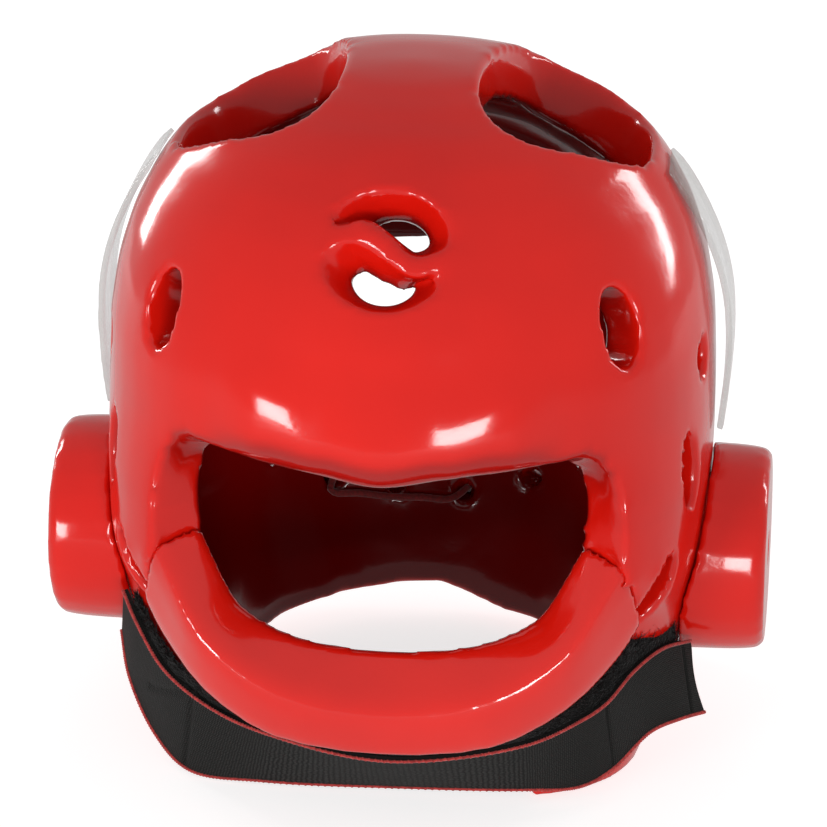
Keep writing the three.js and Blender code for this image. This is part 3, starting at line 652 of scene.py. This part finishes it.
def cordAlong(name, points, radius):
    data = bpy.data.curves.new(name, "CURVE")
    data.dimensions = "3D"
    data.bevel_depth = radius
    data.bevel_resolution = 1
    data.use_fill_caps = True
    spline = data.splines.new("POLY")
    spline.points.add(len(points) - 1)
    for target, point in zip(spline.points, points):
        target.co = (*point, 1)
    piece = bpy.data.objects.new(name, data)
    bpy.context.scene.collection.objects.link(piece)
    pickOnly(piece)
    bpy.ops.object.convert(target="MESH")
    return bpy.context.object


def whippedEdge(name, rail, outwardSign, look):
    count = int(railLength(rail) / look["pitch"]) * look["pointsPerTurn"]
    middle, wound = [], []
    for step in range(count + 1):
        share = step / count
        turn = step / look["pointsPerTurn"] * 2 * math.pi
        edge, inward = railRead(rail, share), railRead(inwards, share)
        outward = (railRead(topRail, share) - railRead(lowRail, share)).normalized() * outwardSign
        centre = edge - (inward * look["coreInward"] + outward * look["coreOutward"]) * look["core"]
        if step % look["coreEvery"] == 0:
            middle.append(centre)
        wound.append(centre + (inward * math.cos(turn) + outward * math.sin(turn)) * look["reach"])
    piece = cordAlong(name, wound, look["radius"])
    core = cordAlong(name + "Core", middle, look["core"])
    pickOnly(core)
    piece.select_set(True)
    bpy.context.view_layer.objects.active = piece
    bpy.ops.object.join()
    bpy.ops.object.shade_smooth()
    hangOn(piece, "lace_cord", redThread)


whippedEdge("strapTopTrim", topRail, 1, threadLook)
whippedEdge("strapLowTrim", lowRail, -1, threadLook)

# looped under layer, standing above the strap's top edge, with loose fibres along its edge
underSize = {
    "start": 0.03, "end": 0.965, "foot": 0.3, "depth": 0.0025, "thickness": 0.0013,
    "alongCuts": 300, "acrossCuts": 10, "ripple": 0.0002, "rippleTurns": 90,
    "rise": 0.12, "firstRise": 0.06, "firstFrom": 0.15, "firstSpan": 0.2,
    "lastRise": 0.09, "lastFrom": 0.6, "lastSpan": 0.15,
}
fuzzLook = {
    "dark": (0.0025, 0.0025, 0.0025), "light": (0.009, 0.008, 0.008), "tuftScale": 1100, "tuftHeight": 0.0009,
    "fibres": 4200, "seed": 4, "length": 0.0055, "shortest": 0.3, "width": 0.00035,
    "endShare": 0.15, "endBand": 0.004, "edgeBand": 0.25, "endLean": (0.2, 1.4), "edgeLean": (-0.8, 0.8),
}


def loopFabric(name, look):
    material, nodes, links, shader = newMaterial(name)
    place = nodes.new("ShaderNodeTexCoord").outputs["Object"]
    tufts = noiseOn(nodes, links, place, look["tuftScale"], 5)
    pile = rampOn(nodes, links, tufts, [(0.35, look["dark"]), (0.7, look["light"])])
    links.new(pile, shader.inputs["Base Color"])
    links.new(bumpOn(nodes, links, tufts, 0.9, look["tuftHeight"]), shader.inputs["Normal"])
    shader.inputs["Roughness"].default_value = 0.95
    shader.inputs["Specular IOR Level"].default_value = 0.15
    shader.inputs["Sheen Weight"].default_value = 0.1
    return material


def underRise(along):
    first = underSize["firstRise"] * easeIn((along - underSize["firstFrom"]) / underSize["firstSpan"])
    last = underSize["lastRise"] * easeIn((along - underSize["lastFrom"]) / underSize["lastSpan"])
    return underSize["rise"] + first + last


def underRipple(along, across):
    return underSize["ripple"] * math.sin(along * underSize["rippleTurns"]) * across


underStrap = ribbon("underStrap", underSize, underRipple, underRise, lambda along, across: along)
blackLoop = loopFabric("blackLoop", fuzzLook)
hangOn(underStrap, "loop_fabric", blackLoop, "under_strap")


def fuzzyEdge(name, look):
    random.seed(look["seed"])
    points, faces = [], []
    for _ in range(look["fibres"]):
        along = underSize["start"] + (underSize["end"] - underSize["start"]) * random.random()
        atEnd = random.random() < look["endShare"]
        across = random.random() if atEnd else 1 - look["edgeBand"] * random.random() ** 2
        along = underSize["end"] - look["endBand"] * random.random() if atEnd else along
        top, low = railRead(topRail, along), railRead(lowRail, along)
        upper, lower = top.lerp(low, -underRise(along)), low.lerp(top, underSize["foot"])
        inward = railRead(inwards, along)
        depth = underSize["depth"] + underSize["thickness"] * random.random()
        root = lower.lerp(upper, across) + inward * depth
        up = (upper - lower).normalized()
        side = inward.cross(up)
        lean = up * random.uniform(0.1, 1)
        lean += side * random.uniform(*look["endLean" if atEnd else "edgeLean"])
        lean -= inward * random.uniform(-0.1, 0.5)
        tip = root + lean.normalized() * look["length"] * random.uniform(look["shortest"], 1)
        first = len(points)
        points += [root - side * look["width"], root + side * look["width"],
                   root + inward * look["width"] * 1.5, tip]
        faces += [(first, first + 1, first + 3), (first + 1, first + 2, first + 3),
                  (first + 2, first, first + 3), (first, first + 2, first + 1)]
    data = bpy.data.meshes.new(name)
    data.from_pydata(points, [], faces)
    piece = bpy.data.objects.new(name, data)
    bpy.context.scene.collection.objects.link(piece)
    pickOnly(piece)
    bpy.ops.object.mode_set(mode="EDIT")
    bpy.ops.mesh.select_all(action="SELECT")
    bpy.ops.mesh.normals_make_consistent(inside=False)
    bpy.ops.object.mode_set(mode="OBJECT")
    hangOn(piece, "loop_fabric", blackLoop)


fuzzyEdge("underStrapFibres", fuzzLook)

# lace through the holes at the nape
laceLook = dict(threadLook, red=(0.24, 0.008, 0.008), darkRed=(0.10, 0.003, 0.003))
backLace = copyNode("back_lace", "backLace")
applyModifier(backLace, "SUBSURF", "roundCord", levels=2, render_levels=2)
pickOnly(backLace)
bpy.ops.object.shade_smooth()
hangOn(backLace, "lace_cord", threadMaterial("laceCord", laceLook), "back_lace")
print("strap and lace ready")

# clear moulded side bands
bandLook = {
    "tint": (0.32, 0.28, 0.25), "shade": (0.20, 0.17, 0.15), "alpha": 0.36, "roughness": 0.08, "coat": 0.5,
    "streakScale": 140, "streakStretch": (3, 3, 0.4), "streakHeight": 0.0006,
    "grain": 0.0007, "passes": 12,
}


def clearPlastic(name, look):
    material, nodes, links, shader = newMaterial(name)
    place = nodes.new("ShaderNodeTexCoord").outputs["Object"]
    streaks = noiseOn(nodes, links, place, look["streakScale"], 3, look["streakStretch"])
    links.new(rampOn(nodes, links, streaks, [(0.3, look["shade"]), (0.7, look["tint"])]),
              shader.inputs["Base Color"])
    links.new(bumpOn(nodes, links, streaks, 0.4, look["streakHeight"]), shader.inputs["Normal"])
    shader.inputs["Alpha"].default_value = look["alpha"]
    shader.inputs["Roughness"].default_value = look["roughness"]
    shader.inputs["Coat Weight"].default_value = look["coat"]
    return material


clearBand = clearPlastic("clearBand", bandLook)
for sideName in ("Left", "Right"):
    nodeName = "side_band_" + sideName.lower()
    sideBand = copyNode(nodeName, "sideBand" + sideName)
    evenSkin(sideBand, bandLook)
    applyModifier(sideBand, "SMOOTH", "fair", factor=0.5, iterations=bandLook["passes"])
    pickOnly(sideBand)
    bpy.ops.object.shade_smooth()
    hangOn(sideBand, "clear_band", clearBand, nodeName)
print("side bands ready")

# plain pale floor and soft studio light
studioLook = {"floorSize": 9, "floorGrey": 0.5, "floorGlow": 0.27, "floorSeenGlow": 0.75,
              "fill": 0.47, "backdrop": 1.0, "lampAim": (0, 0, 0.13)}
bpy.ops.mesh.primitive_plane_add(size=studioLook["floorSize"], location=(0, 0, 0))
floor = bpy.context.object
floor.name = "paleFloor"
floorMaterial, floorNodes, floorLinks, floorShader = newMaterial("palePaper")
floorShader.inputs["Base Color"].default_value = (*[studioLook["floorGrey"]] * 3, 1)
floorShader.inputs["Roughness"].default_value = 0.9
floorShader.inputs["Specular IOR Level"].default_value = 0.1
floorShader.inputs["Emission Color"].default_value = (1, 1, 1, 1)
floorRays = floorNodes.new("ShaderNodeLightPath")
floorGlow = rangeOn(floorNodes, floorLinks, floorRays.outputs["Is Camera Ray"],
                    studioLook["floorGlow"], studioLook["floorSeenGlow"])
floorLinks.new(floorGlow, floorShader.inputs["Emission Strength"])
floor.data.materials.append(floorMaterial)

lamps = [
    {"name": "softboxFrontLeft", "place": (-0.87, -1.34, 0.20), "size": (0.42, 0.30), "power": 7.5},
    {"name": "softboxFrontRight", "place": (0.36, -1.56, 0.20), "size": (0.42, 0.30), "power": 7.5},
    {"name": "softboxSideLeft", "place": (-1.12, 0.75, 0.55), "size": (0.14, 0.80), "power": 5},
    {"name": "softboxSideRight", "place": (1.15, 0.65, 0.62), "size": (0.14, 0.80), "power": 5},
]
for lamp in lamps:
    bpy.ops.object.light_add(type="AREA", location=lamp["place"])
    light = bpy.context.object
    light.name = lamp["name"]
    light.data.shape = "RECTANGLE"
    light.data.size, light.data.size_y = lamp["size"]
    light.data.energy = lamp["power"]
    aim = Vector(studioLook["lampAim"]) - Vector(lamp["place"])
    light.rotation_euler = aim.to_track_quat("-Z", "Y").to_euler()

world = bpy.data.worlds.new("studio")
bpy.context.scene.world = world
world.use_nodes = True
worldNodes, worldLinks = world.node_tree.nodes, world.node_tree.links
fill = worldNodes["Background"]
fill.inputs["Color"].default_value = (1, 1, 1, 1)
fill.inputs["Strength"].default_value = studioLook["fill"]
backdrop = worldNodes.new("ShaderNodeBackground")
backdrop.inputs["Strength"].default_value = studioLook["backdrop"]
rays = worldNodes.new("ShaderNodeLightPath")
blend = worldNodes.new("ShaderNodeMixShader")
worldLinks.new(rays.outputs["Is Camera Ray"], blend.inputs["Fac"])
worldLinks.new(fill.outputs["Background"], blend.inputs[1])
worldLinks.new(backdrop.outputs["Background"], blend.inputs[2])
worldLinks.new(blend.outputs["Shader"], worldNodes["World Output"].inputs["Surface"])
print("studio ready")
